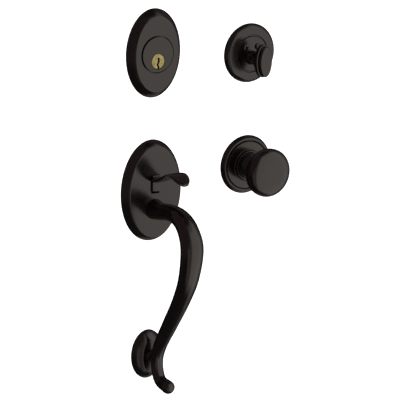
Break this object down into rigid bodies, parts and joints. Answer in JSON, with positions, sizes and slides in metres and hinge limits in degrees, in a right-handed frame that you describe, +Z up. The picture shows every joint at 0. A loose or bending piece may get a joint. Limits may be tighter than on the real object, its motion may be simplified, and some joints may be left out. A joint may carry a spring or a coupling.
{
  "type": "door handleset",
  "caption": "Entry door set laid out: oval deadbolt plate, S-shaped thumb-latch grip with oval plate and lower rose, oval thumb turn and round knob on round roses.",
  "frame": {"origin": "centre of the grip's escutcheon, on the door face at the rear of its back plate", "axes": "+Y into the door along every mount's normal, +Z up the door along the longest extent, +X towards the inside trim's column"},
  "size_m": [0.1964, 0.1285, 0.4227],
  "materials": {
    "bronze_finish": "dark oil-rubbed bronze lacquer, satin gloss",
    "plain_brass": "plain satin brass",
    "zinc_steel": "zinc plated",
    "nylon": "matte"
  },
  "bodies": {
    "trim": {"deadbolt_rosette": "bronze_finish", "deadbolt_cylinder": "bronze_finish", "turn_rose": "bronze_finish", "turn_fixing_screw_left": "bronze_finish", "turn_fixing_screw_right": "bronze_finish", "knob_rose": "bronze_finish", "knob_bearing": "nylon", "knob_return_spring": "zinc_steel", "knob_back_plate": "zinc_steel", "knob_fixing_screw_left": "zinc_steel", "knob_fixing_screw_right": "zinc_steel", "handle_escutcheon": "bronze_finish", "grip": "bronze_finish", "lower_rose": "bronze_finish", "thumb_pivot_pin": "zinc_steel", "thumb_return_spring": "zinc_steel", "handle_back_plate": "zinc_steel", "lower_back_plate": "zinc_steel", "grip_root_bolt": "zinc_steel", "grip_lower_bolt": "zinc_steel", "upper_mounting_post": "zinc_steel", "lower_mounting_post": "zinc_steel"},
    "plug": {"key_plug": "plain_brass", "plug_retaining_clip": "zinc_steel", "deadbolt_tailpiece": "zinc_steel"},
    "turn": {"turn_piece": "bronze_finish", "turn_retaining_clip": "zinc_steel"},
    "knob": {"knob": "bronze_finish", "knob_set_screw": "zinc_steel", "knob_spindle": "zinc_steel", "knob_retaining_ring": "zinc_steel"},
    "thumb": {"thumbpiece": "bronze_finish"}
  },
  "joints": [
    {"name": "plug_turn", "type": "hinge", "parent": "trim", "child": "plug", "pos_m": [0, 0, 0.1447], "axis": [0, 1, 0], "range_deg": [-90, 90]},
    {"name": "turn_turn", "type": "hinge", "parent": "trim", "child": "turn", "pos_m": [0.1253, 0, 0.1376], "axis": [0, 1, 0], "range_deg": [0, 90]},
    {"name": "knob_turn", "type": "hinge", "parent": "trim", "child": "knob", "pos_m": [0.1253, 0, 0.0151], "axis": [0, 1, 0], "range_deg": [-50, 50], "stiffness_Nm_per_rad": 0.15},
    {"name": "thumb_press", "type": "hinge", "parent": "trim", "child": "thumb", "pos_m": [0, -0.004, 0.0125], "axis": [1, 0, 0], "range_deg": [0, 12], "stiffness_Nm_per_rad": 0.06, "springref_deg": -28.65}
  ]
}
